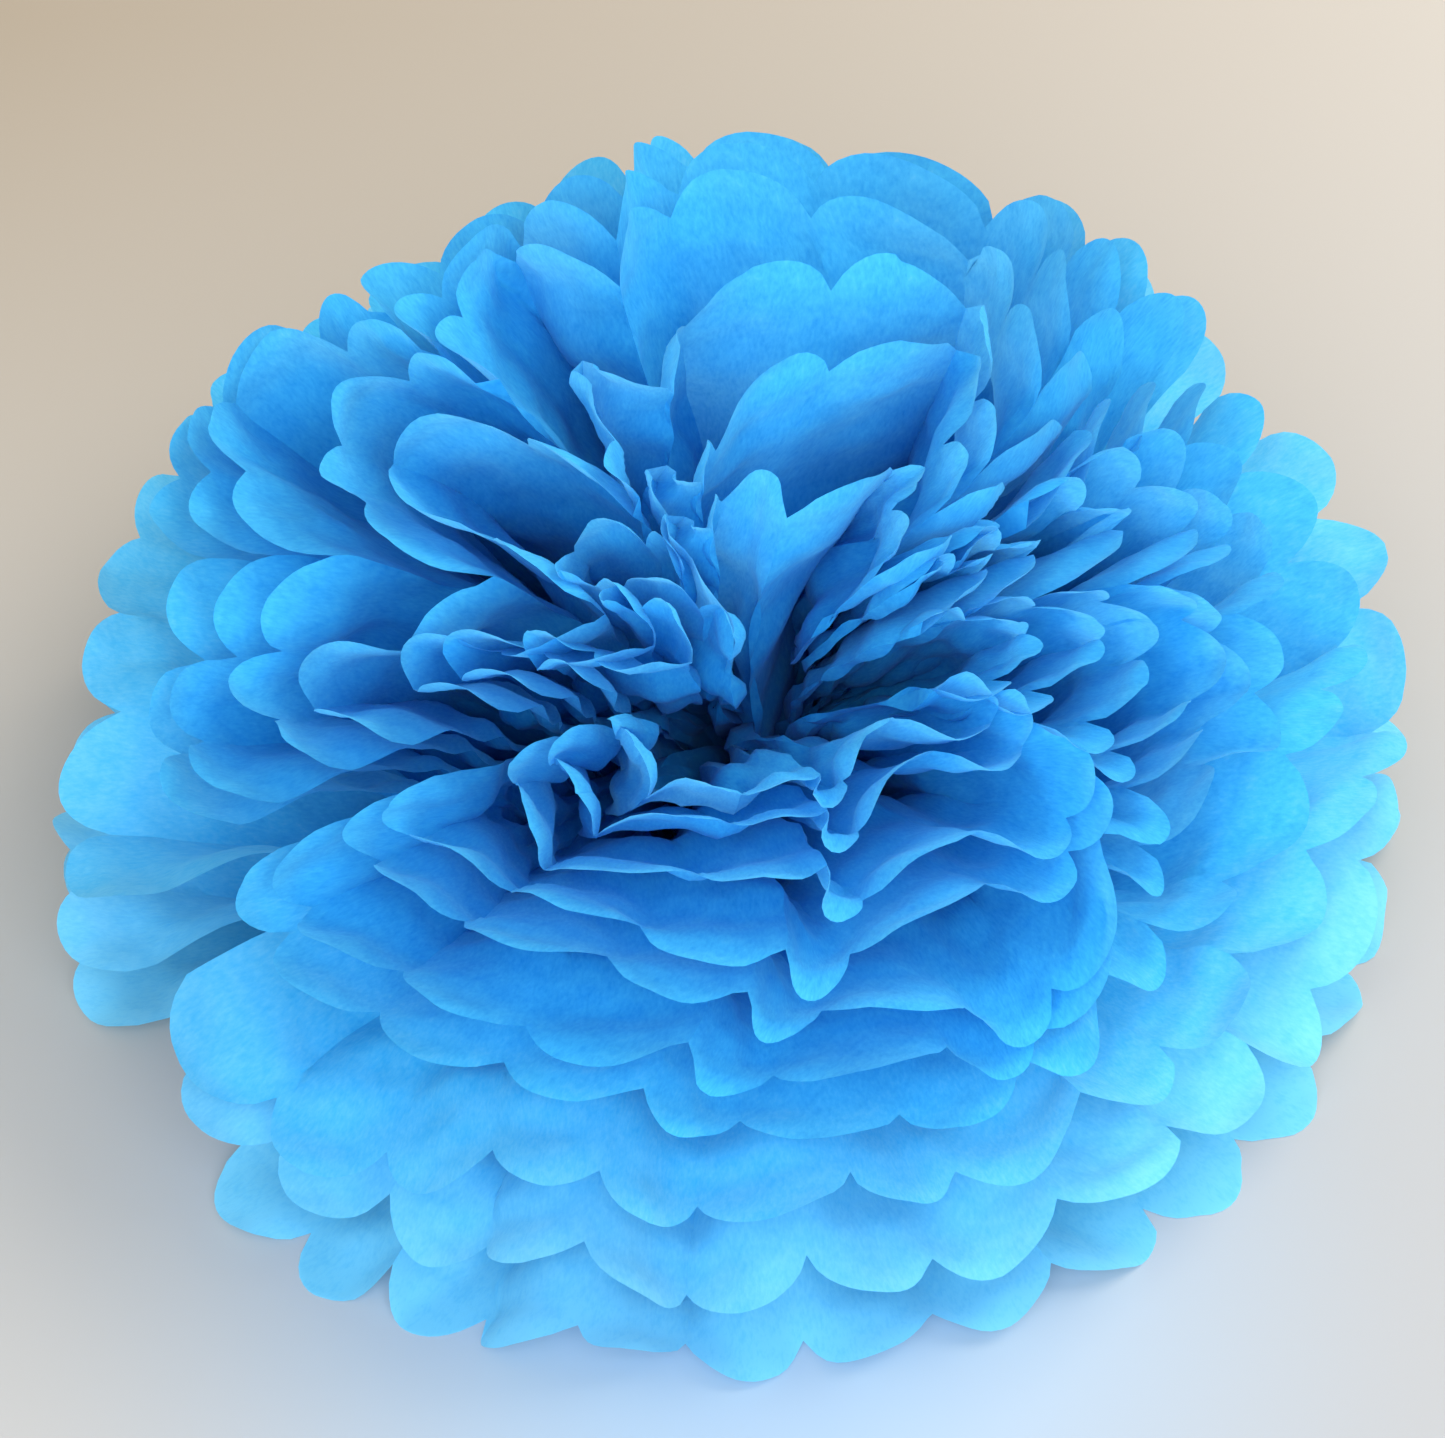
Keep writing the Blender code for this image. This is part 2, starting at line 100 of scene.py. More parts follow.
# At the left seam the front fan stands back from the back fan: by how many degrees, over which
# share of the fan, and in the sheets that lie at least this flat
SEAM_PULL = 11.0
SEAM_SHARE = 0.4
SEAM_FLATNESS = 0.55

# Slow rise and fall of a cup's rim: degrees at most, its share of the cup's opening, and how
# many times it rises and falls round the cup
CUP_WAVE = 3.0
CUP_WAVE_SHARE = 0.08
CUP_WAVE_LOBES = (2, 3, 5)

# Where the inner sheets are parted from the outer ones, and how far each cup moves there, in
# degrees, in the front fan and in the back fan: the inner cups close and the outer ones open
PARTING_AZIMUTH = 140.0
PARTING_BREADTH = 1.5
PARTING = (0.0, 0.0, 1.0, 2.5, 4.5, 6.5, 8.0, -3.0, -3.0, -3.5)
BACK_PARTING = (0.0, 0.0, 0.0, 0.5, 1.0, 2.0, 3.0, -1.5, -2.5, -3.0)

# Tongues of the inner sheets that open wider: their directions and breadths, and by how many
# degrees in each sheet
TONGUE_LOBES = ((218.0, 0.55), (340.0, 0.35))
TONGUES = (0.0, 0.0, 0.0, 0.0, 0.0, 0.0, 0.5, 2.0, 3.5, 5.0)

# How wide each pleat lies open in the inner sheets, against its neighbours. The outer sheets
# are spread evenly, and no pleat is opened wider than its paper. Fold 0 of both fans is on
# the left.
UNEVENNESS = 1.3
UNEVEN_POWER = 2.0
EVENING_SWEEPS = 4
FRONT_SHARES = (0.6, 2.2, 1.9, 2.4, 0.5, 2.6, 1.6, 0.5, 0.5, 1.6, 0.5, 0.5, 1.6, 0.5, 0.6, 0.6)
BACK_SHARES = (0.9, 0.5, 1.9, 0.5, 0.6, 2.4, 0.5, 0.6, 0.6, 1.8, 0.5, 3.8, 3.8, 0.8, 1.4, 0.6)

# Whether each pleat runs out (1) or in (-1). By the tie they take turns. Toward the rim of the
# inner sheets two that run the same way open into one broad petal. The folds' mean over this
# many folds, weighted, stays on the cup.
FRONT_RUNS = (1, 1, -1, -1, 1, -1, 1, -1, 1, 1, -1, -1, 1, -1, -1, 1)
BACK_RUNS = (1, -1, -1, 1, 1, -1, -1, 1, 1, -1, 1, -1, 1, -1, -1, 1)
RUNS_FROM = 0.25
RUNS_OVER = 0.45
RUNS_CLOSENESS = 0.4
RUNS_DEPTH = 0.85
MEAN_WEIGHTS = (1, 2, 2, 2, 2, 2, 1)

# Rim: the share of a fold's depth that is left where the creases are pulled open, how much
# of it is the same in all sheets, how much less is left at the front, and from which share of
# the reach the creases open
KEPT_DEPTH = (0.35, 1.0)
KEPT_ALIKE = 0.55
FRONT_OPENED = 0.2
OPENED_FROM = 0.45

# Fold ends curl in or out: how far against the reach in the outer sheets and in the inner ones,
# from which share of the reach, and how many times that far at most. The inner sheets' rims
# are lifted by this share of a fold's depth.
OUTER_SHEETS = 3
OUTER_CURL = 0.05
INNER_CURL = 0.03
CURL_FROM = 0.56
CURL_LIMIT = 1.6
INNER_LIFT = 0.2

# Droop of the rims of the middle sheets at the front, against the reach
DROOP = 0.11
DROOP_SHEETS = (1.5, 7.5)

# Sheets are pressed apart until they clear each other by this much, up to this angle in
# degrees. On the table each sheet lies this much above it and above the sheet before, and its
# paper eases into that level over the softness.
PRESS_CLEARANCE = 0.0013
PRESS_LIMIT = 5.5
PRESS_SWEEPS = 30
TABLE_CLEARANCE = 0.0002
TABLE_STEP = 0.0006
TABLE_SOFTNESS = 0.0003

# Drift of the whole flower's paper, against the reach: its size, its wave lengths, and the
# distance and height over which it fades in from the tie and from the table
DRIFT_SEED = 21
DRIFT_WAVES = 7
DRIFT_SIZE = 0.016
DRIFT_LENGTHS = (0.46, 0.85)
DRIFT_FROM = 0.13
DRIFT_OVER = 0.53
DRIFT_HEIGHT = 0.4

# How finely the folds are worked out from the tie to the rim, and the mesh of each pleat:
# its columns, its rows, and the power that spreads the rows a little apart toward the tie
STATIONS = 160
COLUMNS = 14
ROWS = 60
ROW_POWER = 0.92

# Paper between the folds: how soft a fold is pulled, and from and over which distances, how
# much width a pleat has to spare at most, how far that bulges out, and from and over where.
# Then the distance of the mesh's first row from the tie.
SOFTNESS = (0.0, 0.4)
SOFT_FROM = 0.045
SOFT_OVER = 0.085
MOST_SPARE = 0.3
BULGE = 0.2
BULGE_FROM = 0.02
BULGE_OVER = 0.06
FIRST_ROW = 0.0015

# Petal ends: how far the middle of a pleat's end is cupped up or down, how much less so in the
# inner sheets, from which share of the reach, and how far that turns from sheet to sheet
CUPPED = 0.006
CUPPED_INSIDE = 0.8
CUPPED_FROM = 0.6
SHEET_TURN = 0.35

# Gathers: near the tie a pleat's spare width is held in small lengthwise waves, this many to a
# pleat and up to this many times its breadth, and they open out from here over this distance
GATHERS = 2
GATHER_MOST = 4.5
GATHER_FROM = 0.35
GATHER_OVER = 0.4

# Small creases: their spacing, their height against it, how far their lines bend and over how
# many radians a metre, the distances from and over which they fade in, how far they move on
# from sheet to sheet against their spacing, and the angle from which an edge is drawn sharp
CREASE_LENGTHS = (0.062, 0.045, 0.034, 0.026, 0.019, 0.015)
CREASE_HEIGHT = 0.045
CREASE_BEND = 0.11
CREASE_BEND_WAVE = np.array((31.0, 47.0))
CREASE_FROM = 0.02
CREASE_OVER = 0.05
CREASE_SHIFT = 0.07
SHARP_CREASE = 38.0

# Cut ends: how unlike one another the scallops are in depth and in slant
SCALLOP_RANGE = (0.85, 1.25)
SCALLOP_SLANT = 0.0012

# Seeds of the random draws, each with the number of a sheet or a fan added or beside it
WAVE_SEED = 100
KEPT_SEED = 7
OWN_DEPTH_SEED = 50
CURL_SEED = 900
SHEET_SEEDS = 10
SCALLOP_SEED = 5
BULGE_SEED = 60
SOFTNESS_SEED = 70
CUPPED_SEED = 80
CREASE_SEED = 300

# Paper's colour, from painted shade deep between the sheets to painted light at the cut ends over
# the table: seen from the lit side, and with the light behind it. Then how far the mottling moves
# it along these tones, and the share of light that passes. Painted light makes the paper paler:
# from this share of the reach on, up to this sheet, with this share of the effect inside the
# flower.
TONES = ((0.0, "#1090DC"), (0.45, "#3CBAEE"), (1.0, "#78D6F8"))
GLOWS = ((0.0, "#44B4EE"), (0.45, "#72D4F8"), (1.0, "#A4E6FC"))
MOTTLING = 1.2
TRANSLUCENCY = 0.36
PAINTED_LIGHT_FROM = 0.3
PAINTED_LIGHT_SHEETS = 4.0
PAINTED_LIGHT_INSIDE = 0.35

# Floor: its size, its tones in front and behind on the left and on the right, which are painted
# light and shade on a pale table, the stretches over which they change toward the back and toward
# the right, and the place, size, strength and tone of the painted cast of light that the paper has
# coloured
FLOOR_SIZE = 8.0
FLOOR_PAINTED_LIGHT_TONES = (("#B7B7B5", "#9A8E7D"), ("#989B9F", "#ADA9A3"))
FLOOR_BACK = (-0.30, 0.30)
FLOOR_RIGHT = (-0.25, 0.22)
CAST_PLACE = (0.0, -0.13, 0.0)
CAST_SIZE = 0.16
CAST_STRENGTH = 0.45
CAST_TONE = "#8FC4EC"

# Lamps: name, place, size, watts and colour. Then the point they look at, and the strength and
# tone of the light from all round.
LAMPS = (("window", (0.85, 0.35, 1.05), 1.0, 18.5, "#FFF4E6"),
         ("fill", (-0.05, -1.0, 0.8), 1.4, 21.5, "#DCEBFF"))
LAMP_TARGET = (0.0, 0.0, 0.05)
SURROUND = 1.0
SURROUND_TONE = "#EEEAE2"

# How many times light is followed from paper to paper: farther down it is all but lost
LIGHT_BOUNCES = 5

# Camera: the photograph's size, its focal length in its pixels, its height angle in degrees,
# its distance from the tie, the pixel at which the tie stands, and the sensor's width in mm
PHOTO_SIZE = (1445, 1438)
FOCAL_PIXELS = 3600.0
CAMERA_ELEVATION = 50.0
CAMERA_DISTANCE = 0.85
TIE_PIXEL = (738, 785)
SENSOR_WIDTH = 36.0

# A pleat's width, a fan's length, the distances at which the folds are worked out, and a small
# turn that shows which way a cup opens
PLEAT_WIDTH = SHEET_WIDTH / PLEAT_COUNT
REACH = SHEET_LENGTH / 2
OPENING_STEP = 0.01
DISTANCES = np.maximum(np.linspace(0.0, REACH, STATIONS), 1e-6)


def smooth_step(x):
    """Rise from 0 at 0 to 1 at 1 with level ends."""
    x = np.clip(x, 0.0, 1.0)
    return x * x * (3.0 - 2.0 * x)


def flare(distance):
    """From 0 in the flat neck to 1 where the sheets have bent up and spread."""
    return smooth_step((distance - NECK_LENGTH) / FLARE_LENGTH)


def closeness(opening):
    """From 0 for a sheet that lies flat to 1 for one that stands on the middle line."""
    return np.clip(1.0 - opening / (math.pi / 2), 0.0, 1.0)


def pleat_steps(fan, opening):
    """How much of the fan each pleat spans at an opening: 1 on average, never over its width.

    Its share against the mean counts more, the closer the cup. What is over the paper's width
    is cut off and spread over all pleats, several times.
    """
    shares = np.array((FRONT_SHARES, BACK_SHARES)[fan])
    uneven = np.minimum(1.0, UNEVENNESS * closeness(opening) ** UNEVEN_POWER)[..., None]
    step = 1.0 + (shares / shares.mean() - 1.0) * uneven
    widest = PAPER_SLACK * PLEAT_WIDTH * PLEAT_COUNT / (REACH * math.radians(FAN_SPAN))
    widest = (widest / np.sin(opening))[..., None]
    for _ in range(EVENING_SWEEPS):
        step = np.minimum(step, widest)
        step = step / step.mean(axis=-1, keepdims=True)
    return step


def fold_azimuth(fan, opening, distance):
    """Azimuth of fold 0 to the last, where the fold meets a given opening and distance.

    It is the fan's middle plus the spans of the pleats before the fold, and the swirl and the
    stretch grow toward the rim. The same rule holds for every sheet, so a fold's line is
    shared by the whole stack and the sheets stay nested along it.
    """
    before = np.tri(PLEAT_COUNT + 1, PLEAT_COUNT, -1)[:, None, :]
    place = (pleat_steps(fan, opening) * before).sum(axis=-1) / PLEAT_COUNT - 0.5
    turn = math.radians(FAN_SPAN) * place * (1.0 if fan == 0 else -1.0)
    middle = math.radians(FAN_AZIMUTH + 180.0 * fan)
    from_front = middle + turn - math.radians(FRONT_AZIMUTH)
    stretch = math.radians(FRONT_STRETCH) * np.sin(2.0 * from_front)
    drawn = smooth_step((distance / REACH - TURN_FROM) / (1.0 - TURN_FROM))
    turn = turn + closeness(opening) * (stretch + math.radians(SWIRL)) * drawn
    if fan == 0:
        flatness = 1.0 - closeness(opening)
        flat = smooth_step((flatness - SEAM_FLATNESS) / (1.0 - SEAM_FLATNESS))
        beside = 1.0 - smooth_step((place + 0.5) / SEAM_SHARE)
        turn = turn + math.radians(SEAM_PULL) * flat * beside
    return middle + turn * flare(distance)


def direction(azimuth, opening, lean):
    """Unit vector at an angle of opening from a middle line that leans toward the front.

    Azimuth and opening are its polar angles. Then it is turned by the lean about a level axis.
    """
    side = math.radians(LEAN_TURN)
    x = np.sin(opening) * np.cos(azimuth - side)
    y = np.sin(opening) * np.sin(azimuth - side)
    z = np.cos(opening)
    y, z = y * np.cos(lean) - z * np.sin(lean), y * np.sin(lean) + z * np.cos(lean)
    x, y = x * math.cos(side) - y * math.sin(side), x * math.sin(side) + y * math.cos(side)
    return np.stack((x, y, z), -1)


def place_folds(index, fan, opening, distance):
    """Points of every fold of one fan, from its opening at each distance from the tie.

    A point is the fold's place in the flat neck plus the distance times the fold's direction.
    """
    bend = flare(distance)
    bent = math.pi / 2 + (opening - math.pi / 2) * bend
    lean = math.radians(LEAN) * closeness(opening) ** LEAN_POWER * bend
    along = direction(fold_azimuth(fan, opening, distance), bent, lean)
    width = NECK_WIDTH - index * NECK_TAPER
    across = np.linspace(-width / 2, width / 2, PLEAT_COUNT + 1)[:, None]
    neck_turn = math.radians(FAN_AZIMUTH + 90.0)
    level = (index - (SHEET_COUNT - 1) / 2) * SHEET_PITCH
    neck = np.stack((math.cos(neck_turn) * across, math.sin(neck_turn) * across,
                     np.full_like(across, level)), -1)
    return neck + distance[None, :, None] * along


def cup_opening(index, fan):
    """Opening of one sheet at every fold: its own, plus slow waves and lobes around the cup."""
    opening = np.radians(np.full((PLEAT_COUNT + 1, 1), OPENINGS[index]))
    azimuth = fold_azimuth(fan, opening, np.array([REACH]))
    draw = np.random.default_rng(WAVE_SEED + index)
    size = math.radians(min(CUP_WAVE, OPENINGS[index] * CUP_WAVE_SHARE)) if index else 0.0
    for lobes in CUP_WAVE_LOBES:
        height = size * draw.normal(0, 0.5)
        opening = opening + height * np.cos(lobes * azimuth + draw.uniform(0, 2 * math.pi))
    parted = (PARTING, BACK_PARTING)[fan][index]
    opening = opening + math.radians(parted) * lobe(azimuth, PARTING_AZIMUTH, PARTING_BREADTH)
    for middle, breadth in TONGUE_LOBES:
        opening = opening + math.radians(TONGUES[index]) * lobe(azimuth, middle, breadth)
    return opening


def lobe(azimuth, middle, breadth):
    """From 1 in a direction down to 0 at a right angle to it, times the breadth: cosine squared."""
    away = (azimuth - math.radians(middle) + math.pi) % (2 * math.pi) - math.pi
    return np.cos(np.clip(away / breadth, -math.pi / 2, math.pi / 2)) ** 2


def steepness(top, distance):
    """Steepest slope of a pleat against the cup: the one by the tie, which gives way to the top."""
    start = (NECK_LENGTH + FLARE_LENGTH) / REACH
    rise = smooth_step((distance / REACH - start) / (STEEP_FROM - start))
    slope = FOLD_STEEPNESS_AT_TIE + (top - FOLD_STEEPNESS_AT_TIE) * rise
    return slope * flare(distance)


def fold_depths(index, fan, distance):
    """Zigzag of the folds, in metres from the cup: as deep as the pleats' width needs.

    A pleat's depth is the other side of a right triangle over its span on the cup, with the
    paper's width as the long side. The pleats' climbs are summed up, and their slow mean is
    taken off. Toward the rim the depth fades and the curl and the droop set in.
    """
    opening = cup_opening(index, fan) * np.ones_like(distance)
    cup = place_folds(index, fan, opening, distance)
    outward = place_folds(index, fan, opening + OPENING_STEP, distance) - cup
    outward /= np.maximum(np.linalg.norm(outward, axis=-1, keepdims=True), 1e-12)
    outward = 0.5 * (outward[1:] + outward[:-1])
    chord = np.diff(cup, axis=0)
    climb = np.abs((chord * outward).sum(axis=-1))
    width = np.sqrt(np.clip((chord ** 2).sum(axis=-1) - climb ** 2, 0.0, None))
    depth = np.sqrt(np.clip((PAPER_SLACK * PLEAT_WIDTH) ** 2 - width ** 2, 0.0, None))
    top = FOLD_STEEPNESS if index < INNER_SHEETS_FROM else INNER_STEEPNESS
    depth = np.clip(np.minimum(depth, steepness(top, distance) * width) - climb, 0.0, None)
    turns = (-1.0) ** np.arange(PLEAT_COUNT)[:, None]
    runs = np.array((FRONT_RUNS, BACK_RUNS)[fan])[:, None] * RUNS_DEPTH
    paired = smooth_step((distance / REACH - RUNS_FROM) / RUNS_OVER)
    paired = paired * smooth_step(closeness(math.radians(OPENINGS[index])) / RUNS_CLOSENESS)
    climbs = (turns + (runs - turns) * paired) * depth
    offset = np.concatenate((np.zeros((1, len(distance))), np.cumsum(climbs, axis=0)))
    side = len(MEAN_WEIGHTS) // 2
    padded = np.pad(offset, ((side, side), (0, 0)), mode="edge")
    slow = sum(weight * padded[i:i + PLEAT_COUNT + 1] for i, weight in enumerate(MEAN_WEIGHTS))
    offset = offset - slow / sum(MEAN_WEIGHTS)
    mean_depth = np.pad(0.5 * (depth[1:] + depth[:-1]), ((1, 1), (0, 0)), mode="edge")
    offset = offset + INNER_LIFT * closeness(opening) ** 2 * mean_depth
    azimuth = fold_azimuth(fan, opening, np.array([REACH]))
    pulled = smooth_step((distance / REACH - OPENED_FROM) / (1.0 - OPENED_FROM))
    offset = offset * (1.0 - pulled * (1.0 - kept_depth(index, fan, azimuth)))
    curled = np.clip((distance / REACH - CURL_FROM) / (1.0 - CURL_FROM), 0.0, 1.0) ** 2
    return offset + (rim_curl(index, fan) + rim_droop(index, azimuth)) * curled


def kept_depth(index, fan, azimuth):
    """Share of a fold's depth that is left at the rim, where creases are pulled open."""
    shape = (PLEAT_COUNT + 1, 1)
    alike = np.random.default_rng(KEPT_SEED + fan).uniform(*KEPT_DEPTH, shape)
    own = np.random.default_rng(OWN_DEPTH_SEED + SHEET_SEEDS * index + fan)
    own = own.uniform(*KEPT_DEPTH, shape)
    front = np.clip(np.cos(azimuth - math.radians(FRONT_AZIMUTH)), 0.0, 1.0) ** 2
    return (KEPT_ALIKE * alike + (1.0 - KEPT_ALIKE) * own) * (1.0 - FRONT_OPENED * front)


def rim_curl(index, fan):
    """How far each fold's end is curled out (+) or in (-)."""
    draw = np.random.default_rng(CURL_SEED + SHEET_SEEDS * index + fan)
    size = OUTER_CURL if index < OUTER_SHEETS else INNER_CURL
    curl = np.clip(draw.normal(0, 1.0, (PLEAT_COUNT + 1, 1)), -CURL_LIMIT, CURL_LIMIT)
    return size * REACH * curl


def rim_droop(index, azimuth):
    """How far the rims of the middle sheets hang out at the front."""
    front = np.clip(np.cos(azimuth - math.radians(FRONT_AZIMUTH)), 0.0, 1.0) ** 2
    first, last = DROOP_SHEETS
    return DROOP * REACH * front * smooth_step(index - first) * smooth_step(last - index)


def stack_openings(fan):
    """Openings of the folds of all sheets, lifted off the table and pressed apart.

    A sheet's opening is its cup's plus depth over distance. Where two neighbours are nearer
    than they may be, each gives way by half, sweep after sweep.
    """
    openings = []
    for index in range(SHEET_COUNT):
        opening = cup_opening(index, fan) + fold_depths(index, fan, DISTANCES) / DISTANCES
        openings.append(opening - below_table(index, opening))
    least = PRESS_CLEARANCE * np.hypot(1.0, steepness(FOLD_STEEPNESS, DISTANCES)) / DISTANCES
    least = np.minimum(least, math.radians(PRESS_LIMIT))
    for _ in range(PRESS_SWEEPS):
        for index in range(SHEET_COUNT - 1):
            push = np.clip(openings[index + 1] + least - openings[index], 0.0, None) / 2
            openings[index] = openings[index] + push
            openings[index + 1] = openings[index + 1] - push
    return openings


def table_level(index):
    """Lowest height of a sheet: each lies on the one under it."""
    return TABLE_CLEARANCE + TABLE_STEP * index


def below_table(index, opening):
    """How far the lowest fold of each five neighbours would open through the table."""
    limit = math.pi / 2 + np.arctan2(TIE[2] - table_level(index), DISTANCES)
    excess = np.pad(np.clip(opening - limit, 0.0, None), ((2, 2), (0, 0)), mode="edge")
    return np.max([excess[i:i + PLEAT_COUNT + 1] for i in range(5)], axis=0)


def drift_points(points):
    """A slow drift shared by all sheets, so that none meets its neighbour: a sum of sines."""
    draw = np.random.default_rng(DRIFT_SEED)
    wave = draw.normal(0, 1, (DRIFT_WAVES, 3))
    wave /= np.linalg.norm(wave, axis=1, keepdims=True)
    wave *= 2 * math.pi / (REACH * draw.uniform(*DRIFT_LENGTHS, (DRIFT_WAVES, 1)))
    shift = draw.normal(0, 1, (DRIFT_WAVES, 3)) * DRIFT_SIZE * REACH
    phase = draw.uniform(0, 2 * math.pi, DRIFT_WAVES)
    moved = np.sin(points @ wave.T + phase) @ shift
    reach = np.linalg.norm(points, axis=-1) / REACH
    height = points[..., 2] / REACH
    fade = smooth_step((reach - DRIFT_FROM) / DRIFT_OVER)
    fade = fade * smooth_step((height + DRIFT_FROM) / DRIFT_HEIGHT)
    return points + moved * fade[..., None]


def linear(code):
    """Linear colour with alpha from an sRGB hex code."""
    values = [int(code[i:i + 2], 16) / 255 for i in (1, 3, 5)]
    return [v / 12.92 if v <= 0.04045 else ((v + 0.055) / 1.055) ** 2.4 for v in values] + [1.0]


def random_for(*key):
    """A random generator with its own fixed seed for each key."""
    return np.random.default_rng([int(k) for k in key])


def rim_reach(pleat, place):
    """Distance from the tie to the cut end: a circle's arc over each pleat, no two quite alike."""
    draw = random_for(SCALLOP_SEED)
    depth = (SCALLOP_DEPTH * draw.uniform(*SCALLOP_RANGE, PLEAT_COUNT))[pleat]
    slant = draw.normal(0, SCALLOP_SLANT, PLEAT_COUNT)[pleat] * place * (1 - place ** 2)
    half = PLEAT_WIDTH / 2
    radius = (half ** 2 + depth ** 2) / (2 * depth)
    return REACH - radius + np.sqrt(radius ** 2 - (half * place) ** 2) + slant


def through(lines, place):
    """Smooth curve through the folds at every place: a cubic between each four neighbours."""
    pleat = np.minimum(place.astype(int), PLEAT_COUNT - 1)
    t = (place - pleat)[:, None, None]
    padded = np.concatenate((2 * lines[:1] - lines[1:2], lines, 2 * lines[-1:] - lines[-2:-1]))
    a, b, c, d = (padded[pleat + step] for step in range(4))
    square = 2 * a - 5 * b + 4 * c - d
    cube = 3 * b - a - 3 * c + d
    return b + ((c - a) * t + square * t ** 2 + cube * t ** 3) / 2


def normals(points):
    """Unit normals of a grid of points, from its two tangents."""
    du = np.gradient(points, axis=0)
    dv = np.gradient(points, axis=1)
    cross = np.cross(du, dv)
    return cross / np.maximum(np.linalg.norm(cross, axis=-1, keepdims=True), 1e-12)


def panel_height(index, fan, chord, pleat, across):
    """How far paper stands off the panel between two folds: the sum of three waves.

    Near the tie the width that the folds can't hold runs in small lengthwise waves, as high as
    their line is longer than the chord. Farther out, what a pleat has to spare bulges to one
    side as a half wave. At the cut end the middle of the pleat is cupped up or down.
    """
    ratio = np.clip(PLEAT_WIDTH / np.maximum(chord, FIRST_ROW), 1.0, GATHER_MOST)
    gathered = 1.0 - smooth_step((DISTANCES / REACH - GATHER_FROM) / GATHER_OVER)
    ratio = 1.0 + (ratio - 1.0) * gathered
    gather = chord / (2 * math.pi * GATHERS) * np.sqrt(2.0 * (ratio ** 2 - 1.0))
    gather = gather * np.sin(2 * math.pi * GATHERS * across)[:, None]
    half_wave = np.sin(math.pi * across)[:, None]
    spare = np.sqrt(np.clip(PLEAT_WIDTH ** 2 - chord ** 2, 0, (MOST_SPARE * PLEAT_WIDTH) ** 2))
    side = random_for(BULGE_SEED, fan).choice((-1.0, 1.0), PLEAT_COUNT)[pleat][:, None]
    bulge = BULGE * side * spare * half_wave
    bulge = bulge * smooth_step((DISTANCES - BULGE_FROM) / BULGE_OVER)
    turn = random_for(CUPPED_SEED, fan).uniform(0, 2 * math.pi, PLEAT_COUNT)
    turn = (turn + SHEET_TURN * index)[pleat][:, None]
    cupped = CUPPED * (1.0 - CUPPED_INSIDE * closeness(math.radians(OPENINGS[index])))
    to_rim = smooth_step((DISTANCES / REACH - CUPPED_FROM) / (1.0 - CUPPED_FROM))
    return bulge + gather + cupped * np.cos(turn) * half_wave * to_rim ** 2


def fan_surface(index, fan, openings):
    """One fan as a grid of points, with its flat places on the sheet.

    Across a pleat the point runs straight from fold to fold near the tie and, where a crease
    is pulled open, along a smooth curve through the folds. The panel's height is added along
    the normal. The rows end on the cut edge.
    """
    lines = drift_points(place_folds(index, fan, openings[index], DISTANCES))
    place = np.linspace(0.0, PLEAT_COUNT, PLEAT_COUNT * COLUMNS + 1)
    pleat = np.minimum(place.astype(int), PLEAT_COUNT - 1)
    across = place - pleat
    sharp = lines[pleat] * (1 - across)[:, None, None] + lines[pleat + 1] * across[:, None, None]
    pulled = random_for(SOFTNESS_SEED, index, fan).uniform(*SOFTNESS, PLEAT_COUNT + 1)
    near_fold = np.where(across < 0.5, pulled[pleat], pulled[pleat + 1])[:, None]
    share = (near_fold * smooth_step((DISTANCES - SOFT_FROM) / SOFT_OVER))[..., None]
    surface = sharp * (1 - share) + through(lines, place) * share
    chord = np.linalg.norm(np.diff(lines, axis=0), axis=-1)[pleat]
    height = panel_height(index, fan, chord, pleat, across)
    surface = surface + height[..., None] * normals(surface)
    rim = rim_reach(pleat, 2 * across - 1)[:, None]
    row = np.linspace(0, 1, ROWS)[None, :]
    distance = FIRST_ROW + (rim - FIRST_ROW) * row ** ROW_POWER
    station = distance / REACH * (STATIONS - 1)
    before = np.minimum(station.astype(int), STATIONS - 2)
    share = (station - before)[..., None]
    column = np.arange(len(place))[:, None]
    points = surface[column, before] * (1 - share) + surface[column, before + 1] * share
    flat = (place * PLEAT_WIDTH)[:, None], distance * (1 - 2 * fan)
    flat = np.stack(np.broadcast_arrays(*flat), -1)
    return crumple(points, flat, index), flat


def crumple(points, flat, index):
    """Small creases: the sum of sharp zigzags in random directions over the flat sheet.

    They move on a little from sheet to sheet, so that neighbours lie in each other's creases.
    """
    draw = random_for(CREASE_SEED)
    height = 0.0
    for length in CREASE_LENGTHS:
        angle = draw.uniform(0, math.pi)
        bend = CREASE_BEND * np.sin(flat @ CREASE_BEND_WAVE + draw.uniform(0, 2 * math.pi))
        phase = flat @ np.array([math.cos(angle), math.sin(angle)]) / length + bend
        phase = phase + draw.uniform() + CREASE_SHIFT * index
        ridge = np.abs(2.0 * (phase % 1.0) - 1.0)
        height = height + CREASE_HEIGHT * length * (ridge - 0.5)
    fade = smooth_step((np.abs(flat[..., 1]) - CREASE_FROM) / CREASE_OVER)
    return points + (height * fade)[..., None] * normals(points)


def painted_light(flat, index):
    """Painted light and shade: from 0, painted shade deep between the sheets, to 1, painted light
    at cut ends with only the table behind them.
    """
    outward = smooth_step((np.abs(flat[..., 1]) / REACH - PAINTED_LIGHT_FROM) / (1.0 - PAINTED_LIGHT_FROM))
    alone = 1.0 - smooth_step(index / PAINTED_LIGHT_SHEETS)
    return outward * (PAINTED_LIGHT_INSIDE + (1.0 - PAINTED_LIGHT_INSIDE) * alone)


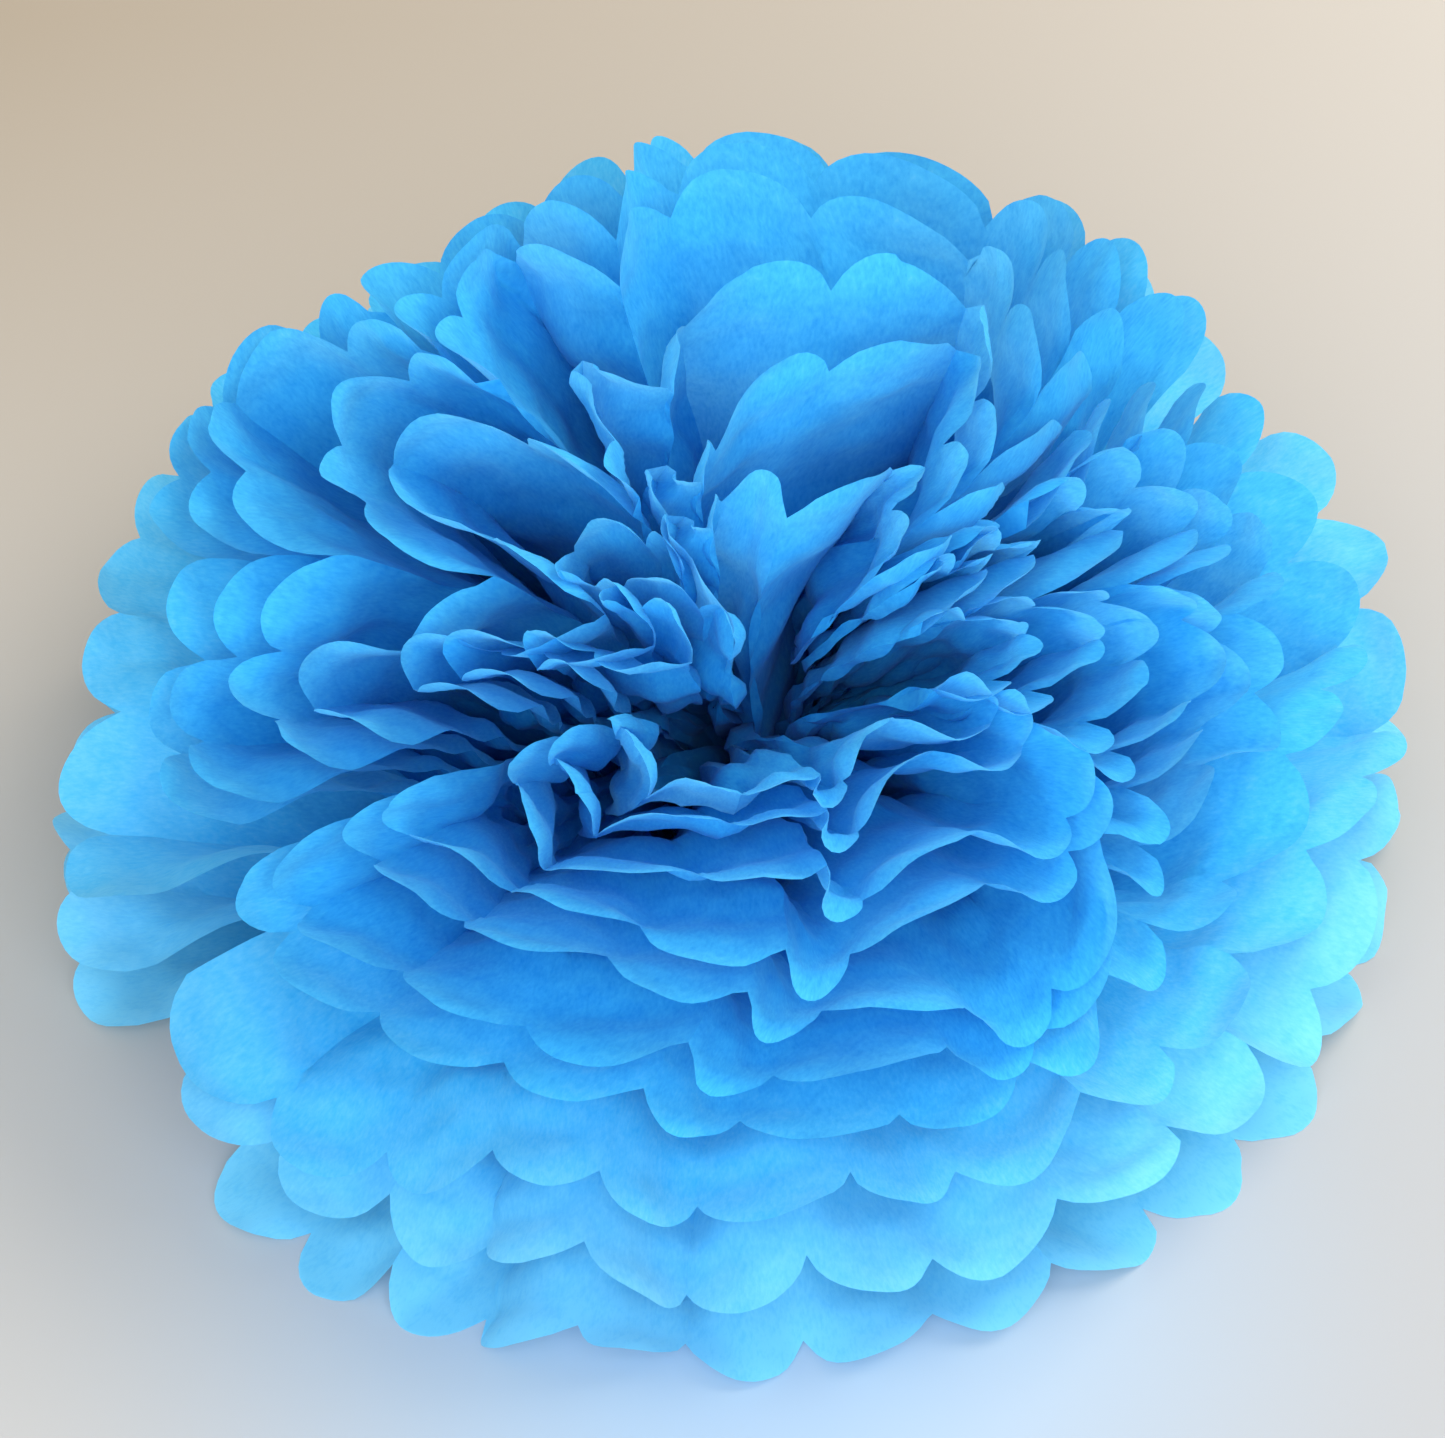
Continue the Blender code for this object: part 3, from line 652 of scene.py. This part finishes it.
def make_sheet(index, fans, material):
    """One tissue sheet as a mesh: both fans, joined under the wire, with flat places as UV."""
    grids, flats = zip(*(fan_surface(index, fan, fans[fan]) for fan in (0, 1)))
    columns, rows = grids[0].shape[:2]
    points = np.stack(grids) + TIE
    over = (points[..., 2] - table_level(index)) / TABLE_SOFTNESS
    points[..., 2] = table_level(index) + TABLE_SOFTNESS * np.logaddexp(0.0, over)
    number = np.arange(2 * columns * rows).reshape(2, columns, rows)
    grid_faces = np.stack((number[:, :-1, :-1], number[:, :-1, 1:],
                           number[:, 1:, 1:], number[:, 1:, :-1]), -1)
    neck = number[:, :, 0]
    neck_faces = np.stack((neck[0, :-1], neck[0, 1:], neck[1, 1:], neck[1, :-1]), -1)
    faces = np.concatenate((grid_faces[0].reshape(-1, 4), grid_faces[1].reshape(-1, 4)[:, ::-1],
                            neck_faces))
    flat = np.stack(flats).reshape(-1, 2)
    name = f"tissue_{index + 1:02d}"
    mesh = bpy.data.meshes.new(name)
    mesh.vertices.add(len(flat))
    mesh.vertices.foreach_set("co", points.ravel())
    mesh.loops.add(faces.size)
    mesh.loops.foreach_set("vertex_index", faces.ravel())
    mesh.polygons.add(len(faces))
    mesh.polygons.foreach_set("loop_start", np.arange(0, faces.size, 4))
    mesh.update(calc_edges=True)
    mesh.uv_layers.new(name="paper")
    mesh.uv_layers["paper"].uv.foreach_set("vector", flat[faces.ravel()].ravel())
    # The paper's painted light and shade, kept as a point attribute
    mesh.attributes.new("painted_light", "FLOAT", "POINT")
    mesh.attributes["painted_light"].data.foreach_set("value", painted_light(flat, index))
    mesh.shade_smooth()
    mesh.set_sharp_from_angle(angle=math.radians(SHARP_CREASE))
    mesh.materials.append(material)
    piece = bpy.data.objects.new(name, mesh)
    bpy.context.collection.objects.link(piece)
    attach(piece, "root")
    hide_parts(f"tissue_sheet_{index + 1:02d}")
    return piece


def add_node(tree, kind, place, values=(), **links):
    """Add a shader node, set its values and link its inputs, named with _ for a space."""
    item = tree.nodes.new(kind)
    item.location = place
    for key, value in dict(values).items():
        if isinstance(key, str) and key not in item.inputs:
            setattr(item, key, value)
        else:
            item.inputs[key].default_value = value
    for key, source in links.items():
        tree.links.new(source, item.inputs[key.replace("_", " ")])
    return item


def set_ramp(ramp, stops):
    """Give a colour ramp its stops: pairs of a place and an sRGB code."""
    for count, (place, code) in enumerate(stops):
        element = ramp.elements[count] if count < 2 else ramp.elements.new(place)
        element.position = place
        element.color = linear(code)


def new_material(name):
    """A material with an empty node tree but for its Principled shader."""
    material = bpy.data.materials.new(name)
    material.use_nodes = True
    return material, material.node_tree, material.node_tree.nodes["Principled BSDF"]


def tissue_paper():
    """Dyed tissue paper: matt, cloudy with long fibres, glowing where light passes it.

    It is uncoated cellulose, so it has hardly any gloss. Painted shade makes it darkest deep
    between the sheets, and painted light makes it palest at the cut ends over the table.
    """
    material, tree, matt = new_material("tissue_paper")
    place = add_node(tree, "ShaderNodeUVMap", (-1600, 0), {"uv_map": "paper"}).outputs["UV"]
    # Fibres: clumps 0.9 mm wide and 2 mm long with finer detail. Real fibres are some 0.03 mm
    # wide, too fine to show.
    along = add_node(tree, "ShaderNodeMapping", (-1400, 200),
                     {"Scale": (1.0, 0.45, 1.0), "Rotation": (0, 0, 0.5)}, Vector=place)
    fibre = add_node(tree, "ShaderNodeTexNoise", (-1200, 200),
                     {"Scale": 1100.0, "Detail": 4.0, "Roughness": 0.62}, Vector=along.outputs[0])
    # Clouds: the paper's thicker and thinner patches, about 6 mm across, with finer detail
    cloud = add_node(tree, "ShaderNodeTexNoise", (-1200, -100),
                     {"Scale": 170.0, "Detail": 4.0, "Roughness": 0.6}, Vector=place)
    weave = add_node(tree, "ShaderNodeMix", (-980, 60), {"Factor": 0.45},
                     A=fibre.outputs["Fac"], B=cloud.outputs["Fac"])
    # Painted light and shade: a point attribute that darkens the tones deep between the sheets and
    # lightens them at the cut ends over the table
    painted_light_attribute = add_node(tree, "ShaderNodeAttribute", (-1200, -350), {"attribute_name": "painted_light"})
    mottled = add_node(tree, "ShaderNodeMapRange", (-980, -150),
                       {"To Min": -MOTTLING / 2, "To Max": MOTTLING / 2}, Value=weave.outputs[0])
    mottling_and_painted_light = add_node(tree, "ShaderNodeMath", (-800, -100), {"operation": "ADD"})
    tree.links.new(mottled.outputs[0], mottling_and_painted_light.inputs[0])
    tree.links.new(painted_light_attribute.outputs["Fac"], mottling_and_painted_light.inputs[1])
    # Both ramps carry painted shade at their low end and painted light at their high end, moved a
    # little by the mottling
    tone = add_node(tree, "ShaderNodeValToRGB", (-600, 150), Fac=mottling_and_painted_light.outputs[0])
    set_ramp(tone.color_ramp, TONES)
    glow = add_node(tree, "ShaderNodeValToRGB", (-600, -150), Fac=mottling_and_painted_light.outputs[0])
    set_ramp(glow.color_ramp, GLOWS)
    bump = add_node(tree, "ShaderNodeBump", (-500, -420),
                    {"Strength": 0.35, "Distance": 0.00035}, Height=weave.outputs[0])
    tree.links.new(tone.outputs[0], matt.inputs["Base Color"])
    tree.links.new(bump.outputs[0], matt.inputs["Normal"])
    matt.inputs["Roughness"].default_value = 0.72
    matt.inputs["Specular IOR Level"].default_value = 0.25
    matt.inputs["Sheen Weight"].default_value = 0.05
    passed = add_node(tree, "ShaderNodeBsdfTranslucent", (-250, -300),
                      Color=glow.outputs[0], Normal=bump.outputs[0])
    both = add_node(tree, "ShaderNodeMixShader", (50, 0), {"Fac": TRANSLUCENCY})
    tree.links.new(matt.outputs[0], both.inputs[1])
    tree.links.new(passed.outputs[0], both.inputs[2])
    tree.links.new(both.outputs[0], tree.nodes["Material Output"].inputs["Surface"])
    return material


def steel_wire():
    """Drawn steel wire with slight tarnish."""
    material, tree, shader = new_material("steel_wire")
    place = add_node(tree, "ShaderNodeTexCoord", (-900, 0)).outputs["Object"]
    # Tarnish marks, about 0.4 mm across
    marks = add_node(tree, "ShaderNodeTexNoise", (-700, 0),
                     {"Scale": 2500.0, "Detail": 3.0}, Vector=place)
    tone = add_node(tree, "ShaderNodeValToRGB", (-450, 100), Fac=marks.outputs["Fac"])
    set_ramp(tone.color_ramp, ((0.0, "#A7AAAD"), (1.0, "#D2D4D6")))
    tree.links.new(tone.outputs[0], shader.inputs["Base Color"])
    shader.inputs["Metallic"].default_value = 1.0
    shader.inputs["Roughness"].default_value = 0.34
    return material


def make_floor():
    """Pale floor with painted light and shade: warm at the back left, cool in front, and a painted
    blue cast of light before the flower.
    """
    half = FLOOR_SIZE / 2
    corners = [(-half, -half, 0), (half, -half, 0), (half, half, 0), (-half, half, 0)]
    mesh = bpy.data.meshes.new("floor")
    mesh.from_pydata(corners, [], [(0, 1, 2, 3)])
    floor = bpy.data.objects.new("floor", mesh)
    bpy.context.collection.objects.link(floor)
    material, tree, shader = new_material("floor")
    place = add_node(tree, "ShaderNodeTexCoord", (-1100, 0)).outputs["Object"]
    split = add_node(tree, "ShaderNodeSeparateXYZ", (-900, 0), Vector=place)
    back = add_node(tree, "ShaderNodeMapRange", (-700, 100),
                    {"From Min": FLOOR_BACK[0], "From Max": FLOOR_BACK[1]},
                    Value=split.outputs["Y"])
    right = add_node(tree, "ShaderNodeMapRange", (-700, -100),
                     {"From Min": FLOOR_RIGHT[0], "From Max": FLOOR_RIGHT[1]},
                     Value=split.outputs["X"])
    # Painted light and shade: the pale table's tones change toward the back and toward the right,
    # warm at the back left and cool in front, as the room's light falls on it
    sides = []
    for level, (front_code, back_code) in enumerate(FLOOR_PAINTED_LIGHT_TONES):
        side = add_node(tree, "ShaderNodeMixRGB", (-450, 100 - 250 * level), Fac=back.outputs[0])
        side.inputs["Color1"].default_value = linear(front_code)
        side.inputs["Color2"].default_value = linear(back_code)
        sides.append(side.outputs[0])
    tone = add_node(tree, "ShaderNodeMixRGB", (-250, 0), Fac=right.outputs[0],
                    Color1=sides[0], Color2=sides[1])
    # Light that the paper has coloured falls on the floor before the flower
    away = add_node(tree, "ShaderNodeVectorMath", (-700, -350),
                    {"operation": "DISTANCE", 1: CAST_PLACE})
    tree.links.new(place, away.inputs[0])
    near = add_node(tree, "ShaderNodeMapRange", (-450, -350),
                    {"From Min": CAST_SIZE, "From Max": 0.0, "To Max": CAST_STRENGTH,
                     "interpolation_type": "SMOOTHSTEP"}, Value=away.outputs["Value"])
    cast = add_node(tree, "ShaderNodeMixRGB", (-50, 0), {"Color2": linear(CAST_TONE)},
                    Fac=near.outputs[0], Color1=tone.outputs[0])
    tree.links.new(cast.outputs[0], shader.inputs["Base Color"])
    shader.inputs["Roughness"].default_value = 0.6
    shader.inputs["Specular IOR Level"].default_value = 0.2
    mesh.materials.append(material)


def add_lamp(name, place, size, power, code):
    """A square soft lamp that looks at the flower."""
    lamp = bpy.data.lights.new(name, "AREA")
    lamp.size = size
    lamp.energy = power
    lamp.color = linear(code)[:3]
    item = bpy.data.objects.new(name, lamp)
    item.location = place
    item.rotation_euler = (Vector(LAMP_TARGET) - Vector(place)).to_track_quat("-Z", "Y").to_euler()
    bpy.context.collection.objects.link(item)


def set_light():
    """Soft daylight: a pale surround, a window behind on the right and a broad fill in front."""
    world = bpy.data.worlds.new("surround")
    world.use_nodes = True
    background = world.node_tree.nodes["Background"]
    background.inputs["Color"].default_value = linear(SURROUND_TONE)
    background.inputs["Strength"].default_value = SURROUND
    bpy.context.scene.world = world
    for lamp in LAMPS:
        add_lamp(*lamp)
    bpy.context.scene.cycles.max_bounces = LIGHT_BOUNCES


def set_camera():
    """Camera of the photograph: in front and above, with the tie at its pixel."""
    elevation = math.radians(CAMERA_ELEVATION)
    right = Vector((1, 0, 0))
    up = Vector((0, math.sin(elevation), math.cos(elevation)))
    back = Vector((0, -math.cos(elevation), math.sin(elevation)))
    sideways = (TIE_PIXEL[0] - PHOTO_SIZE[0] / 2) / FOCAL_PIXELS * CAMERA_DISTANCE
    lower = (TIE_PIXEL[1] - PHOTO_SIZE[1] / 2) / FOCAL_PIXELS * CAMERA_DISTANCE
    place = Vector(TIE) + back * CAMERA_DISTANCE - right * sideways + up * lower
    lens = bpy.data.cameras.new("camera")
    lens.sensor_width = SENSOR_WIDTH
    lens.lens = FOCAL_PIXELS / PHOTO_SIZE[0] * lens.sensor_width
    camera = bpy.data.objects.new("camera", lens)
    bpy.context.collection.objects.link(camera)
    rows = zip(right, up, back, place)
    camera.matrix_world = Matrix([list(row) for row in rows] + [[0, 0, 0, 1]])
    bpy.context.scene.camera = camera


def set_colours():
    """Colours as they are given, without a film look."""
    bpy.context.scene.view_settings.view_transform = "Standard"


paper = tissue_paper()
fans = [stack_openings(fan) for fan in (0, 1)]
for index in range(SHEET_COUNT):
    make_sheet(index, fans, paper)
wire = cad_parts["tie_wire"]
wire.data.materials.clear()
wire.data.materials.append(steel_wire())
make_floor()
set_light()
set_camera()
set_colours()
